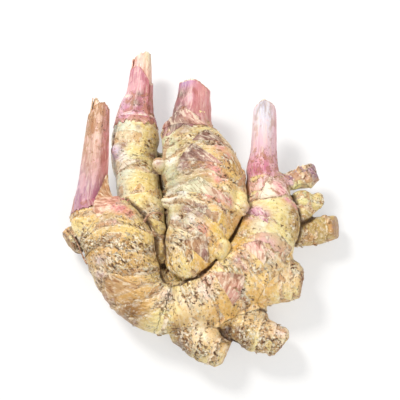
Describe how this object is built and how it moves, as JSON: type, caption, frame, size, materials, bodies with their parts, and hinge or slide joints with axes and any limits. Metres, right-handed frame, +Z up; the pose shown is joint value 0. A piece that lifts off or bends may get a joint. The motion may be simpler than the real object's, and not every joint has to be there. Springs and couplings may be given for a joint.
{
  "type": "young ginger root",
  "caption": "Freshly dug young ginger rhizome with plump ringed arms, cut pink shoots, papery scale leaves and wiry roots, lying on its broad side.",
  "frame": {"origin": "centre of the footprint on the surface that the root lies on", "axes": "+Y from the old knobbly end towards the cut shoots, +X across the arms to the right seen from above, +Z up from the surface"},
  "size_m": [0.1328, 0.1548, 0.0403],
  "materials": {
    "rhizome_skin": "thin ringed skin, cream to tan, satin where clean and rough where papery or soiled",
    "shoot_sheath": "smooth ribbed leaf sheath, pink to lilac, satin",
    "shoot_heart": "rolled young leaves, cream, moist satin",
    "scale_leaf": "papery fibrous scale, purple brown with pale edges",
    "wiry_root": "thin dry root, brown"
  },
  "bodies": {
    "root": {"rhizome": "rhizome_skin", "left_shoot_sheath": "shoot_sheath", "left_shoot_heart": "shoot_heart", "tall_shoot_sheath": "shoot_sheath", "tall_shoot_heart": "shoot_heart", "broad_shoot_sheath": "shoot_sheath", "broad_shoot_heart": "shoot_heart", "right_shoot_sheath": "shoot_sheath", "right_shoot_heart": "shoot_heart", "left_bract": "scale_leaf", "scale_leaf_broad_crown": "scale_leaf", "scale_leaf_broad_shoulder": "scale_leaf", "scale_leaf_broad_middle": "scale_leaf", "scale_leaf_broad_lower": "scale_leaf", "scale_leaf_broad_heel": "scale_leaf", "scale_leaf_right_crown": "scale_leaf", "scale_leaf_right_purple": "scale_leaf", "scale_leaf_right_pink": "scale_leaf", "scale_leaf_right_heel": "scale_leaf", "scale_leaf_left_fold": "scale_leaf", "scale_leaf_tall_crown": "scale_leaf", "scale_leaf_tall_ring": "scale_leaf", "root_inner": "wiry_root", "root_curl": "wiry_root"}
  },
  "joints": []
}
